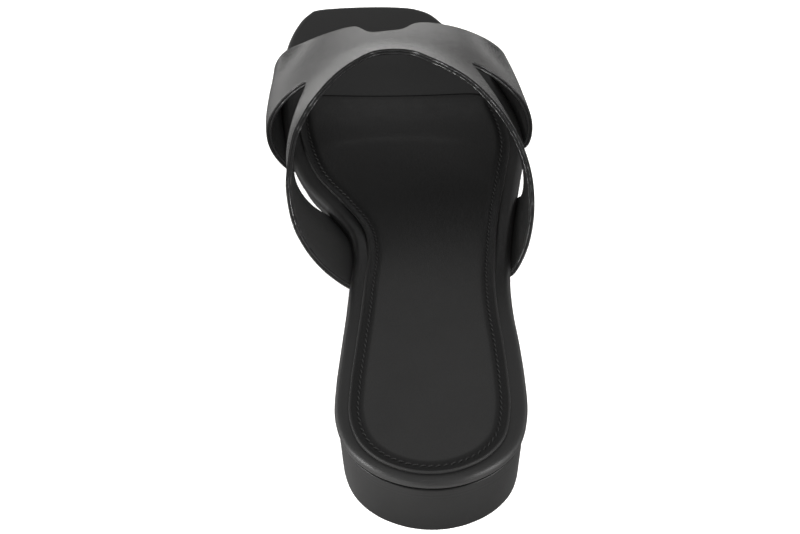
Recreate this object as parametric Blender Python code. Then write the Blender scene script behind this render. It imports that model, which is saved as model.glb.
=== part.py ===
"""Leather slide sandal, right shoe, with one crossed strap over the ball of the foot.

Metres in the scene, millimetres in the tables' sizes. +Y runs from heel to toe, +X to the wearer's
right (the outer side of this foot) and +Z up. The shoe stands on the floor at Z = 0.
"""
import math
from collections import namedtuple

import bpy
import numpy as np

MM = 0.001

# Driving sizes of the shoe, in millimetres
LENGTH = 251.2
BALL_WIDTH = 84.0
INSTEP_HEIGHT = 75.5
HEEL_HEIGHT = 18.0
TOE_SPRING = 4.2
GAP = 0.3

# Sole layers
OUTSOLE_THICK = 3.7
OUTSOLE_INSET = 2.3
OUTSOLE_BEVEL = 0.5
FOOTBED_THICK = 4.8
RIM_ROUND = FOOTBED_THICK / 2
INSOLE_THICK = 1.2
INSOLE_INSET = 5.0
INSOLE_BEVEL = 0.4
INSOLE_DRIFT = (0.7, 2.4)
INSOLE_DRIFT_END = 0.48

# Where the sole changes along its length, as shares of the length
BREAST_AT = 0.250
SHANK_FROM = 0.259
TREAD_FROM = 0.657
SPRING_FROM = 0.737
INSOLE_FRONT = 0.812

# Heel block
HEEL_TOP_INSET = 1.0
HEEL_FOOT_INSET = 2.6
HEEL_RAKE = 2.2
HEEL_BEVEL = 0.6

# Strap
WALL = 2.0
SKIVE = 1.2
MARGIN = 9.0
POCKET_REACH = 4.0
POCKET_MOUTH = 1.8

# Mesh fineness
SIDE_STEPS = 54
RIM_STEPS = 6
WRAP_STEPS = 3
MARGIN_STEPS = 3
REAR_ROWS = 6
FRONT_ROWS = 6
POCKET_STEPS = 12

# Outline of the footbed: along as a share of the length from the heel,
# inner and outer edge as shares of the ball width from the shoe's axis
Station = namedtuple("Station", "along inner outer")
OUTLINE = (
    Station(0.000, 0.000, 0.000),
    Station(0.010, -0.142, 0.142),
    Station(0.032, -0.245, 0.245),
    Station(0.068, -0.325, 0.325),
    Station(0.123, -0.364, 0.364),
    Station(0.183, -0.354, 0.367),
    Station(0.243, -0.331, 0.360),
    Station(0.307, -0.306, 0.348),
    Station(0.378, -0.284, 0.350),
    Station(0.446, -0.264, 0.367),
    Station(0.506, -0.276, 0.386),
    Station(0.565, -0.345, 0.410),
    Station(0.629, -0.445, 0.443),
    Station(0.697, -0.502, 0.473),
    Station(0.764, -0.524, 0.455),
    Station(0.828, -0.526, 0.395),
    Station(0.884, -0.517, 0.317),
    Station(0.928, -0.494, 0.245),
    Station(0.963, -0.455, 0.174),
    Station(0.987, -0.405, 0.102),
    Station(0.997, -0.351, 0.006),
    Station(1.000, -0.173, -0.173),
)

# Cross sections of the last that the strap is drawn over. The ridge is the highest line. The flare is
# the lean of the wall away from upright where it leaves the sole, and reach and shoulder are how
# far the wall keeps its direction at the sole and at the ridge, all as shares of the ball width
Section = namedtuple(
    "Section",
    "along ridge_x ridge_z inner_flare inner_reach inner_shoulder outer_flare outer_reach outer_shoulder",
)
LAST = (
    Section(0.398, -0.060, 1.313, 67.0, 0.610, 0.535, 46.0, 0.312, 0.542),
    Section(0.498, -0.060, 1.098, 53.5, 0.533, 0.522, 32.0, 0.276, 0.512),
    Section(0.597, -0.060, 0.884, 43.5, 0.434, 0.431, 22.0, 0.219, 0.440),
    Section(0.677, -0.062, 0.747, 42.5, 0.369, 0.416, 21.5, 0.236, 0.422),
    Section(0.756, -0.069, 0.635, 35.5, 0.280, 0.375, 14.0, 0.227, 0.391),
    Section(0.836, -0.068, 0.557, 25.0, 0.212, 0.288, 14.5, 0.242, 0.399),
    Section(0.916, -0.063, 0.495, 18.0, 0.155, 0.227, 18.0, 0.258, 0.371),
)

# Cut edges of the strap: across runs from -1 at the inner foot of the wall, over the ridge at 0,
# to 1 at the outer foot, and along is a share of the length
Edge = namedtuple("Edge", "across along")
REAR_EDGE = (
    Edge(-1.00, 0.393),
    Edge(-0.88, 0.416),
    Edge(-0.78, 0.445),
    Edge(-0.68, 0.489),
    Edge(-0.57, 0.537),
    Edge(-0.40, 0.587),
    Edge(-0.28, 0.614),
    Edge(-0.15, 0.661),
    Edge(-0.08, 0.688),
    Edge(0.00, 0.691),
    Edge(0.05, 0.686),
    Edge(0.13, 0.654),
    Edge(0.30, 0.608),
    Edge(0.43, 0.572),
    Edge(0.57, 0.534),
    Edge(0.73, 0.486),
    Edge(0.87, 0.445),
    Edge(1.00, 0.413),
)
FRONT_EDGE = (
    Edge(-1.00, 0.862),
    Edge(-0.60, 0.847),
    Edge(-0.48, 0.832),
    Edge(-0.38, 0.824),
    Edge(-0.27, 0.816),
    Edge(-0.19, 0.812),
    Edge(-0.15, 0.807),
    Edge(-0.12, 0.793),
    Edge(-0.09, 0.778),
    Edge(-0.02, 0.776),
    Edge(0.03, 0.780),
    Edge(0.05, 0.785),
    Edge(0.065, 0.795),
    Edge(0.085, 0.804),
    Edge(0.11, 0.809),
    Edge(0.18, 0.812),
    Edge(0.47, 0.816),
    Edge(0.62, 0.820),
    Edge(0.78, 0.834),
    Edge(0.90, 0.850),
    Edge(1.00, 0.862),
)

# Notches between the front and rear legs: where the tip is across the strap, where it lies between
# the rear edge (0) and the front edge (1), how far the cut opens behind and ahead of its tip, and
# how far each of its sides bows out half way down
Notch = namedtuple("Notch", "tip share back ahead back_bow ahead_bow")
NOTCHES = {
    -1: Notch(0.352, 0.325, 24.2, 2.6, 1.2, 1.6),
    1: Notch(0.294, 0.436, 24.2, 4.0, 12.4, -0.9),
}

# Columns of the strap's grid between the ridge and the foot of the wall
RIDGE_STEP = 0.02
RIDGE_ZONE = 0.22
WALL_STEP = 0.07
TIP_STEPS = (0.006, 0.022, 0.05)

# Materials: colour, roughness
Finish = namedtuple("Finish", "colour roughness")
FINISHES = {
    "outsole": Finish((0.020, 0.020, 0.021), 0.60),
    "heel": Finish((0.022, 0.022, 0.023), 0.42),
    "footbed": Finish((0.018, 0.018, 0.019), 0.40),
    "insole": Finish((0.024, 0.024, 0.025), 0.55),
    "upper": Finish((0.026, 0.026, 0.027), 0.32),
}


def smooth(places, values, at):
    """Value of a smooth curve through the table's points."""
    places = np.asarray(places, float)
    values = np.asarray(values, float)
    rise = np.diff(values) / np.diff(places)
    span = np.diff(places)
    slope = np.empty(len(places))
    slope[1:-1] = (rise[:-1] * span[1:] + rise[1:] * span[:-1]) / (span[1:] + span[:-1])
    slope[0] = rise[0]
    slope[-1] = rise[-1]
    at = min(max(at, places[0]), places[-1])
    k = min(max(int(np.searchsorted(places, at)) - 1, 0), len(span) - 1)
    u = (at - places[k]) / span[k]
    a = values[k] * (1 + 2 * u) * (1 - u) ** 2 + values[k + 1] * u * u * (3 - 2 * u)
    b = slope[k] * u * (1 - u) ** 2 - slope[k + 1] * u * u * (1 - u)
    return a + b * span[k]


def turn_of(along):
    """Angle around the outline, 0 at the heel's back and pi at the toe, on the inner side."""
    return math.acos(min(max(1 - 2 * along, -1.0), 1.0))


def outline_table():
    """Outline as x over the angle around it, with two turns' ends repeated so that it closes."""
    inner = [(turn_of(s.along), s.inner) for s in OUTLINE]
    outer = [(2 * math.pi - turn_of(s.along), s.outer) for s in reversed(OUTLINE[1:-1])]
    loop = inner + outer
    before = [(t - 2 * math.pi, x) for t, x in loop[-3:]]
    after = [(t + 2 * math.pi, x) for t, x in loop[:3]]
    return np.array(before + loop + after)


TURNS = outline_table()


def edge_point(turn):
    """Point of the footbed's outline, in millimetres."""
    x = BALL_WIDTH * smooth(TURNS[:, 0], TURNS[:, 1], turn)
    y = LENGTH * (1 - math.cos(turn)) / 2
    return np.array([x, y])


def edge_normal(turn):
    """Outward direction of the outline."""
    step = 0.01
    run = edge_point(turn + step) - edge_point(turn - step)
    normal = np.array([-run[1], run[0]])
    return normal / np.linalg.norm(normal)


def ramp(value):
    """Eased step from 0 to 1."""
    value = min(max(value, 0.0), 1.0)
    return value * value * (3 - 2 * value)


def seat(y):
    """Height of the footbed's underside above the floor."""
    along = y / LENGTH
    tread = OUTSOLE_THICK + GAP
    drop = ramp((along - SHANK_FROM) / (TREAD_FROM - SHANK_FROM))
    lift = max((along - SPRING_FROM) / (1 - SPRING_FROM), 0.0)
    return HEEL_HEIGHT + (tread - HEEL_HEIGHT) * drop + TOE_SPRING * lift * lift


def sole_point(turn, inset, up):
    """Point inside the outline by inset, at a height above the footbed's underside."""
    x, y = edge_point(turn) - inset * edge_normal(turn)
    return np.array([x, y, seat(y) + up])


def side_turn(y, side):
    """Angle around the outline at a distance from the heel, on the inner (-1) or outer (1) side."""
    turn = turn_of(y / LENGTH)
    return turn if side < 0 else 2 * math.pi - turn


def weld(faces):
    """Mesh data from faces given by points, with shared corners joined and empty faces dropped."""
    index = {}
    points = []
    polygons = []
    for face in faces:
        corners = []
        for point in face:
            key = tuple(round(float(v), 4) for v in point)
            if key not in index:
                index[key] = len(points)
                points.append([v * MM for v in key])
            if index[key] not in corners:
                corners.append(index[key])
        if len(corners) > 2:
            polygons.append(corners)
    return points, polygons


def loop_turns(start, stop):
    """Angles of the inner side from one share of the length to another, evenly spread in angle."""
    return np.linspace(turn_of(start), turn_of(stop), SIDE_STEPS + 1)


def stacked(loops):
    """Closed solid from loops of (inner points, outer points), listed from the bottom up."""
    faces = []
    for low, high in zip(loops, loops[1:]):
        for j in range(len(low[0]) - 1):
            faces.append((low[0][j + 1], low[0][j], high[0][j], high[0][j + 1]))
            faces.append((low[1][j], low[1][j + 1], high[1][j + 1], high[1][j]))
        faces.append((low[0][0], low[1][0], high[1][0], high[0][0]))
        faces.append((low[1][-1], low[0][-1], high[0][-1], high[1][-1]))
    for loop, up in ((loops[0], False), (loops[-1], True)):
        for j in range(len(loop[0]) - 1):
            face = (loop[0][j], loop[1][j], loop[1][j + 1], loop[0][j + 1])
            faces.append(face if up else face[::-1])
    return weld(faces)


def heel_drift(turn):
    """How much further in the sock lining's edge lies. It is glued a little back and inward at the heel."""
    fade = 1 - ramp((1 - math.cos(turn)) / 2 / INSOLE_DRIFT_END)
    return fade * float(np.dot(INSOLE_DRIFT, edge_normal(turn)))


def sole_loop(start, stop, inset, height, drift=0.0):
    """One loop of a sole layer. The height is a function of the point's own place on the sole."""
    sides = []
    for side in (-1, 1):
        points = []
        for place in loop_turns(start, stop):
            turn = place if side < 0 else 2 * math.pi - place
            x, y, _ = sole_point(turn, inset + drift * heel_drift(turn), 0)
            points.append(np.array([x, y, height(y)]))
        sides.append(points)
    return tuple(sides)


def footbed_mesh():
    """Wrapped board with a half-round rim."""
    loops = []
    for k in range(RIM_STEPS + 1):
        angle = math.pi * (k / RIM_STEPS - 0.5)
        inset = RIM_ROUND * (1 - math.cos(angle))
        up = RIM_ROUND * (1 + math.sin(angle))
        loops.append(sole_loop(0.0, 1.0, inset, lambda y, up=up: seat(y) + up))
    return stacked(loops)


def insole_mesh():
    """Sock lining with a softened top edge, cut straight across in front of the ball."""
    floor = FOOTBED_THICK + GAP
    layers = (
        (INSOLE_INSET, floor),
        (INSOLE_INSET, floor + INSOLE_THICK - INSOLE_BEVEL),
        (INSOLE_INSET + INSOLE_BEVEL, floor + INSOLE_THICK),
    )
    loops = []
    for inset, up in layers:
        stop = INSOLE_FRONT - (inset - INSOLE_INSET) / LENGTH
        loops.append(sole_loop(0.0, stop, inset, lambda y, up=up: seat(y) + up, drift=1.0))
    return stacked(loops)


def outsole_mesh():
    """Walking sole from the heel's breast to the toe, bent to the arch and the toe spring."""
    start = BREAST_AT + GAP / LENGTH
    layers = (
        (OUTSOLE_INSET + OUTSOLE_BEVEL, -GAP - OUTSOLE_THICK),
        (OUTSOLE_INSET, -GAP - OUTSOLE_THICK + OUTSOLE_BEVEL),
        (OUTSOLE_INSET, -GAP),
    )
    loops = [sole_loop(start, 1.0, inset, lambda y, up=up: seat(y) + up) for inset, up in layers]
    return stacked(loops)


def heel_mesh():
    """Covered block, narrower at the floor, its back upright and its breast leaning back."""
    levels = ((0.0, HEEL_BEVEL), (HEEL_BEVEL / HEEL_HEIGHT, 0.0), (0.35, 0.0), (0.7, 0.0), (1.0, 0.0))
    loops = []
    for share, bevel in levels:
        inset = HEEL_FOOT_INSET + (HEEL_TOP_INSET - HEEL_FOOT_INSET) * share + bevel
        top = HEEL_HEIGHT - GAP
        loop = sole_loop(0.0, BREAST_AT, inset, lambda y, share=share: share * top)
        back = np.array([0.0, -HEEL_RAKE * (1 - share), 0.0])
        loops.append(tuple([point + back for point in points] for points in loop))
    return stacked(loops)


def last_value(column, y):
    """One column of the last's table, at a distance from the heel."""
    places = [row.along for row in LAST]
    return smooth(places, [getattr(row, column) for row in LAST], y / LENGTH)


def wall_foot(y, side, radius, angle):
    """Point on the strap where it wraps the rim, at an angle below level."""
    turn = side_turn(y, side)
    inset = RIM_ROUND - radius * math.cos(angle)
    return sole_point(turn, inset, RIM_ROUND - radius * math.sin(angle))


def wall_point(across, y):
    """Point on the strap's outside between the rim (-1 or 1) and the ridge (0)."""
    side = -1 if across < 0 else 1
    name = "inner" if side < 0 else "outer"
    flare = math.radians(last_value(name + "_flare", y))
    reach = BALL_WIDTH * last_value(name + "_reach", y)
    shoulder = BALL_WIDTH * last_value(name + "_shoulder", y)
    normal = edge_normal(side_turn(y, side))
    lean = np.array([normal[0] * math.sin(flare), normal[1] * math.sin(flare), math.cos(flare)])
    foot = wall_foot(y, side, RIM_ROUND + GAP + WALL, flare)
    ridge = np.array([BALL_WIDTH * last_value("ridge_x", y), y, INSTEP_HEIGHT * last_value("ridge_z", y)])
    t = 1 - abs(across)
    corners = (foot, foot + reach * lean, ridge + np.array([side * shoulder, 0, 0]), ridge)
    weights = ((1 - t) ** 3, 3 * t * (1 - t) ** 2, 3 * t * t * (1 - t), t ** 3)
    return sum(w * p for w, p in zip(weights, corners))


def wall_normal(across, y):
    """Direction out of the strap's outside."""
    step = 0.01
    near = max(min(across, 1 - step), -1 + step)
    run = wall_point(near + step, y) - wall_point(near - step, y)
    rise = wall_point(near, y + 1) - wall_point(near, y - 1)
    normal = np.cross(run, rise)
    return normal / np.linalg.norm(normal)


def strap_pair(across, y):
    """Outside and inside points of the strap. Past 1 it wraps the rim, past 2 it is the lasting margin."""
    side = -1 if across < 0 else 1
    reach = abs(across)
    if reach <= 1:
        outside = wall_point(across, y)
        return outside, outside - WALL * wall_normal(across, y)
    if reach <= 2:
        name = "inner_flare" if side < 0 else "outer_flare"
        flare = math.radians(last_value(name, y))
        share = reach - 1
        angle = flare + share * (math.pi / 2 - flare)
        thick = WALL + (SKIVE - WALL) * share
        inner = RIM_ROUND + GAP
        return wall_foot(y, side, inner + thick, angle), wall_foot(y, side, inner, angle)
    inset = RIM_ROUND + (reach - 2) * (MARGIN - RIM_ROUND)
    turn = side_turn(y, side)
    return sole_point(turn, inset, -GAP - SKIVE), sole_point(turn, inset, -GAP)


def edge_y(table, across):
    """Distance of a cut edge from the heel."""
    return LENGTH * smooth([row.across for row in table], [row.along for row in table], across)


def notch_edges(across):
    """Rear and front sides of the line that parts the legs. They are one line between the notch tips."""
    rear = edge_y(REAR_EDGE, across)
    front = edge_y(FRONT_EDGE, across)
    inner, outer = NOTCHES[-1], NOTCHES[1]
    across = min(max(across, -1.0), 1.0)
    mix = min(max((across + inner.tip) / (inner.tip + outer.tip), 0.0), 1.0)
    notch = inner if across < 0 else outer
    if abs(across) <= notch.tip:
        middle = rear + (inner.share + (outer.share - inner.share) * mix) * (front - rear)
        return middle, middle
    tip = math.copysign(notch.tip, across)
    tip_rear = edge_y(REAR_EDGE, tip)
    tip_front = edge_y(FRONT_EDGE, tip)
    middle = tip_rear + notch.share * (tip_front - tip_rear)
    share = (abs(across) - notch.tip) / (1 - notch.tip)
    opening = math.sqrt(1 - (1 - share) ** 2)
    bow = 4 * share * (1 - share)
    back = middle - notch.back * opening - notch.back_bow * bow
    ahead = middle + notch.ahead * opening + notch.ahead_bow * bow
    return back, ahead


def strap_columns():
    """Places across the strap, finer at the ridge and at the notch tips."""
    places = {0.0}
    for side in (-1, 1):
        tip = NOTCHES[side].tip
        fine = np.arange(RIDGE_STEP, RIDGE_ZONE, RIDGE_STEP)
        coarse = np.linspace(RIDGE_ZONE, tip, max(int((tip - RIDGE_ZONE) / WALL_STEP), 1) + 1)
        cluster = [tip + step for step in TIP_STEPS]
        lower = np.linspace(cluster[-1], 1.0, int((1 - cluster[-1]) / WALL_STEP) + 1)
        wrap = 1 + np.arange(1, WRAP_STEPS + 1) / WRAP_STEPS
        margin = 2 + np.arange(1, MARGIN_STEPS + 1) / MARGIN_STEPS
        for place in (*fine, *coarse, *cluster, *lower, *wrap, *margin):
            places.add(round(side * float(place), 5))
    return sorted(places)


def upper_mesh():
    """One strap with four legs: a grid of wall behind and ahead of the notches, with its cut edges."""
    columns = strap_columns()
    bands = ([], [])
    for across in columns:
        rear = edge_y(REAR_EDGE, across)
        front = edge_y(FRONT_EDGE, across)
        back, ahead = notch_edges(across)
        bands[0].append([strap_pair(across, y) for y in np.linspace(rear, back, REAR_ROWS + 1)])
        bands[1].append([strap_pair(across, y) for y in np.linspace(ahead, front, FRONT_ROWS + 1)])
    faces = []
    for band in bands:
        for left, right in zip(band, band[1:]):
            for low, high in zip(range(len(left)), range(1, len(left))):
                corners = (left[low], right[low], right[high], left[high])
                faces.append(tuple(pair[0] for pair in corners))
                faces.append(tuple(pair[1] for pair in reversed(corners)))
        for column, flip in ((band[0], False), (band[-1], True)):
            for low, high in zip(column, column[1:]):
                wall = (low[0], high[0], high[1], low[1])
                faces.append(wall[::-1] if flip else wall)
    for j in range(len(columns) - 1):
        parted = max(abs(columns[j]), abs(columns[j + 1])) > NOTCHES[-1 if columns[j] < 0 else 1].tip + 1e-6
        ends = [(bands[0], 0, False), (bands[1], -1, True)]
        if parted:
            ends += [(bands[0], -1, True), (bands[1], 0, False)]
        for band, row, flip in ends:
            left, right = band[j][row], band[j + 1][row]
            wall = (left[0], left[1], right[1], right[0])
            faces.append(wall[::-1] if flip else wall)
    return weld(faces)


def pocket_mesh(side, rear):
    """Cutter for the recess in the outsole where one leg's lasting margin lies."""
    foot = float(side)
    back, ahead = notch_edges(foot)
    if rear:
        start, stop = edge_y(REAR_EDGE, foot), back
    else:
        start, stop = ahead, edge_y(FRONT_EDGE, foot)
    floor = -2 * GAP - SKIVE
    mouth = floor + SKIVE - WALL
    profile = (
        (-POCKET_REACH, mouth),
        (OUTSOLE_INSET, mouth),
        (OUTSOLE_INSET + POCKET_MOUTH, floor),
        (MARGIN + GAP, floor),
        (MARGIN + GAP, 1.0),
        (-POCKET_REACH, 1.0),
    )
    rows = []
    for y in np.linspace(start - 2 * GAP, stop + 2 * GAP, POCKET_STEPS + 1):
        turn = side_turn(y, side)
        rows.append([sole_point(turn, inset, up) for inset, up in profile])
    faces = [tuple(rows[0]), tuple(reversed(rows[-1]))]
    for low, high in zip(rows, rows[1:]):
        for k in range(len(profile)):
            nxt = (k + 1) % len(profile)
            faces.append((low[k], high[k], high[nxt], low[nxt]))
    if side > 0:
        faces = [face[::-1] for face in faces]
    return weld(faces)


def material(name):
    """Principled material of one piece."""
    made = bpy.data.materials.new(name)
    made.use_nodes = True
    shader = made.node_tree.nodes["Principled BSDF"]
    finish = FINISHES[name]
    shader.inputs["Base Color"].default_value = (*finish.colour, 1.0)
    shader.inputs["Roughness"].default_value = finish.roughness
    shader.inputs["Metallic"].default_value = 0.0
    return made


def add_piece(name, mesh_data, parent):
    """Object of one piece, smooth where its faces turn gently."""
    points, polygons = mesh_data
    mesh = bpy.data.meshes.new(name)
    mesh.from_pydata(points, [], polygons)
    mesh.validate()
    mesh.shade_smooth()
    mesh.set_sharp_from_angle(angle=math.radians(40))
    piece = bpy.data.objects.new(name, mesh)
    piece.parent = parent
    bpy.context.collection.objects.link(piece)
    if name in FINISHES:
        mesh.materials.append(material(name))
    return piece


def cut_pockets(outsole, parent):
    """Recess the outsole under each of the strap's four legs."""
    split = outsole.modifiers.new("flat_faces", "TRIANGULATE")
    split.quad_method = "FIXED"
    for side, side_name in ((-1, "inner"), (1, "outer")):
        for rear, leg in ((True, "rear"), (False, "front")):
            cutter = add_piece("pocket_" + side_name + "_" + leg, pocket_mesh(side, rear), parent)
            cutter.hide_render = True
            cutter.display_type = "WIRE"
            cut = outsole.modifiers.new(cutter.name, "BOOLEAN")
            cut.operation = "DIFFERENCE"
            cut.solver = "EXACT"
            cut.object = cutter


def main():
    for old in list(bpy.data.objects):
        bpy.data.objects.remove(old)
    shoe = bpy.data.objects.new("slide_right", None)
    bpy.context.collection.objects.link(shoe)
    pieces = {
        "outsole": outsole_mesh(),
        "heel": heel_mesh(),
        "footbed": footbed_mesh(),
        "insole": insole_mesh(),
        "upper": upper_mesh(),
    }
    made = {name: add_piece(name, data, shoe) for name, data in pieces.items()}
    cut_pockets(made["outsole"], shoe)
    corners = np.array([point for points, _ in pieces.values() for point in points])
    middle = (corners.min(axis=0) + corners.max(axis=0)) / 2
    shoe.location = (-middle[0], -middle[1], 0.0)


main()
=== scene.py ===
"""Looks of the leather slide sandal: finer leather, lining, stitching, finishes, light and camera.

Shapes are worked out in millimetres in the shoe's own frame, with y from the heel's back and x from the
heel's axis, by the same sections and cut edges as the solids. They are then set on the frame's footbed.
"""
import math
from collections import namedtuple

import bpy
import numpy as np
from mathutils import Matrix, Vector, kdtree
from mathutils.geometry import delaunay_2d_cdt


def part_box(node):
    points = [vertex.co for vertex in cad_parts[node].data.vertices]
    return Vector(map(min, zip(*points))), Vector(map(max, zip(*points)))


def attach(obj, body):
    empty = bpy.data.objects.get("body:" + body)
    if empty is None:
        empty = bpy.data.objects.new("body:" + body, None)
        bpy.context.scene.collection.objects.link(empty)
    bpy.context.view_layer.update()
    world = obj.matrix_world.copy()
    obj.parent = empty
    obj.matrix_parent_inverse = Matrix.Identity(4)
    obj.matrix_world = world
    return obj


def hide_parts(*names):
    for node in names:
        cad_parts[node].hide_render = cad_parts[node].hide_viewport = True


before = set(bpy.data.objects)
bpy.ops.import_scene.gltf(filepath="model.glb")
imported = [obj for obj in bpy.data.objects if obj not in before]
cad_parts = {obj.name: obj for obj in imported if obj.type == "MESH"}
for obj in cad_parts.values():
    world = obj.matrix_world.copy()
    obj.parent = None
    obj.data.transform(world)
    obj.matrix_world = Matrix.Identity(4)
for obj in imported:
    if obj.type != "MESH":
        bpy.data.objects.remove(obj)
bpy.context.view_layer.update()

MM = 0.001

# Driving sizes of the shoe, in millimetres
LENGTH = 251.2
BALL_WIDTH = 84.0
INSTEP_HEIGHT = 75.5
HEEL_HEIGHT = 18.0
TOE_SPRING = 4.2
GAP = 0.3

# Sole layers
OUTSOLE_THICK = 3.7
OUTSOLE_INSET = 2.3
OUTSOLE_ROUND = 0.6
FOOTBED_THICK = 4.8
RIM_ROUND = FOOTBED_THICK / 2
SOCK_INSET = 5.0
SOCK_DRIFT = (0.7, 2.4)
SOCK_DRIFT_END = 0.48
BREAST_AT = 0.250
SHANK_FROM = 0.259
TREAD_FROM = 0.657
SPRING_FROM = 0.737

# Heel block
HEEL_TOP_INSET = 1.0
HEEL_FOOT_INSET = 2.6
HEEL_RAKE = 2.2
HEEL_ROUND = 0.6
HEEL_TOP_ROUND = 0.5
HEEL_LINES = (2.3, 3.5)
HEEL_LINE_DEPTH = 0.02
HEEL_LINE_WIDTH = 0.25
HEEL_SIDE_FROM = 1.2
HEEL_SIDE_BELOW_TOP = 0.7
HEEL_SIDE_STEP = 0.15

# Strap
WALL = 2.0
SKIVE = 1.2
MARGIN = 9.0
POCKET_MOUTH = 1.8

# Outline of the footbed: along as a share of the length from the heel,
# inner and outer edge as shares of the ball width from the shoe's axis
Station = namedtuple("Station", "along inner outer")
OUTLINE = (
    Station(0.000, 0.000, 0.000),
    Station(0.010, -0.142, 0.142),
    Station(0.032, -0.245, 0.245),
    Station(0.068, -0.325, 0.325),
    Station(0.123, -0.364, 0.364),
    Station(0.183, -0.354, 0.367),
    Station(0.243, -0.331, 0.360),
    Station(0.307, -0.306, 0.348),
    Station(0.378, -0.284, 0.350),
    Station(0.446, -0.264, 0.367),
    Station(0.506, -0.276, 0.386),
    Station(0.565, -0.345, 0.410),
    Station(0.629, -0.445, 0.443),
    Station(0.697, -0.502, 0.473),
    Station(0.764, -0.524, 0.455),
    Station(0.828, -0.526, 0.395),
    Station(0.884, -0.517, 0.317),
    Station(0.928, -0.494, 0.245),
    Station(0.963, -0.455, 0.174),
    Station(0.987, -0.405, 0.102),
    Station(0.997, -0.351, 0.006),
    Station(1.000, -0.173, -0.173),
)

# Cross sections of the last that the strap is drawn over. The ridge is the highest line. The flare is
# the lean of the wall away from upright where it leaves the sole, and reach and shoulder are how
# far the wall keeps its direction at the sole and at the ridge, all as shares of the ball width
Section = namedtuple(
    "Section",
    "along ridge_x ridge_z inner_flare inner_reach inner_shoulder outer_flare outer_reach outer_shoulder",
)
LAST = (
    Section(0.398, -0.060, 1.313, 67.0, 0.610, 0.535, 46.0, 0.312, 0.542),
    Section(0.498, -0.060, 1.098, 53.5, 0.533, 0.522, 32.0, 0.276, 0.512),
    Section(0.597, -0.060, 0.884, 43.5, 0.434, 0.431, 22.0, 0.219, 0.440),
    Section(0.677, -0.062, 0.747, 42.5, 0.369, 0.416, 21.5, 0.236, 0.422),
    Section(0.756, -0.069, 0.635, 35.5, 0.280, 0.375, 14.0, 0.227, 0.391),
    Section(0.836, -0.068, 0.557, 25.0, 0.212, 0.288, 14.5, 0.242, 0.399),
    Section(0.916, -0.063, 0.495, 18.0, 0.155, 0.227, 18.0, 0.258, 0.371),
)

# Cut edges of the strap: across runs from -1 at the inner foot of the wall, over the ridge at 0,
# to 1 at the outer foot, and along is a share of the length
Edge = namedtuple("Edge", "across along")
REAR_EDGE = (
    Edge(-1.00, 0.393),
    Edge(-0.88, 0.416),
    Edge(-0.78, 0.445),
    Edge(-0.68, 0.489),
    Edge(-0.57, 0.537),
    Edge(-0.40, 0.587),
    Edge(-0.28, 0.614),
    Edge(-0.15, 0.661),
    Edge(-0.08, 0.688),
    Edge(0.00, 0.691),
    Edge(0.05, 0.686),
    Edge(0.13, 0.654),
    Edge(0.30, 0.608),
    Edge(0.43, 0.572),
    Edge(0.57, 0.534),
    Edge(0.73, 0.486),
    Edge(0.87, 0.445),
    Edge(1.00, 0.413),
)
FRONT_EDGE = (
    Edge(-1.00, 0.862),
    Edge(-0.60, 0.847),
    Edge(-0.48, 0.832),
    Edge(-0.38, 0.824),
    Edge(-0.27, 0.816),
    Edge(-0.19, 0.812),
    Edge(-0.15, 0.807),
    Edge(-0.12, 0.793),
    Edge(-0.09, 0.778),
    Edge(-0.02, 0.776),
    Edge(0.03, 0.780),
    Edge(0.05, 0.785),
    Edge(0.065, 0.795),
    Edge(0.085, 0.804),
    Edge(0.11, 0.809),
    Edge(0.18, 0.812),
    Edge(0.47, 0.816),
    Edge(0.62, 0.820),
    Edge(0.78, 0.834),
    Edge(0.90, 0.850),
    Edge(1.00, 0.862),
)

# Notches between the front and rear legs: where the tip is across the strap, where it lies between
# the rear edge (0) and the front edge (1), how far the cut opens behind and ahead of its tip, and
# how far each of its sides bows out half way down
Notch = namedtuple("Notch", "tip share back ahead back_bow ahead_bow")
NOTCHES = {
    -1: Notch(0.352, 0.325, 24.2, 2.6, 1.2, 1.6),
    1: Notch(0.294, 0.436, 24.2, 4.0, 12.4, -0.9),
}

# Flat pattern of the strap: distances from the ridge to the foot of the wall, to the end of the
# wrap round the rim and to the end of the lasting margin
FLAT_PLACES = (0.0, 52.0, 57.0, 63.6)
ACROSS_PLACES = (0.0, 1.0, 2.0, 3.0)

# Section through a cut edge: two layers with a fine groove between them, rounded and painted.
# Out is past the edge and down is from the strap's outside
EdgeStep = namedtuple("EdgeStep", "out down")
CUT_EDGE = (
    EdgeStep(-0.22, 0.04),
    EdgeStep(-0.07, 0.15),
    EdgeStep(0.00, 0.34),
    EdgeStep(0.02, 0.58),
    EdgeStep(-0.02, 0.82),
    EdgeStep(-0.12, 0.95),
    EdgeStep(-0.26, 1.02),
    EdgeStep(-0.12, 1.09),
    EdgeStep(-0.02, 1.22),
    EdgeStep(0.02, 1.46),
    EdgeStep(0.00, 1.70),
    EdgeStep(-0.07, 1.87),
    EdgeStep(-0.22, 1.97),
)
EDGE_SOFT = 0.45
EDGE_RUB_REACH = 1.6
STRAP_STEP = 0.75
STRAP_GRID = 0.95
TIP_ROUNDING = 8

# Soft ridge of the strap along its rear edge: how far from the edge it begins to bend down, how softly,
# where across the strap the bend fades on the legs, its slope, and the finer slope that only shades it
BEND_FROM = 10.0
BEND_SOFT = 9.0
BEND_FADES = (0.30, 0.75)
BEND_SLOPE = 0.03
BEND_SHADE = 0.22

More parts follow.
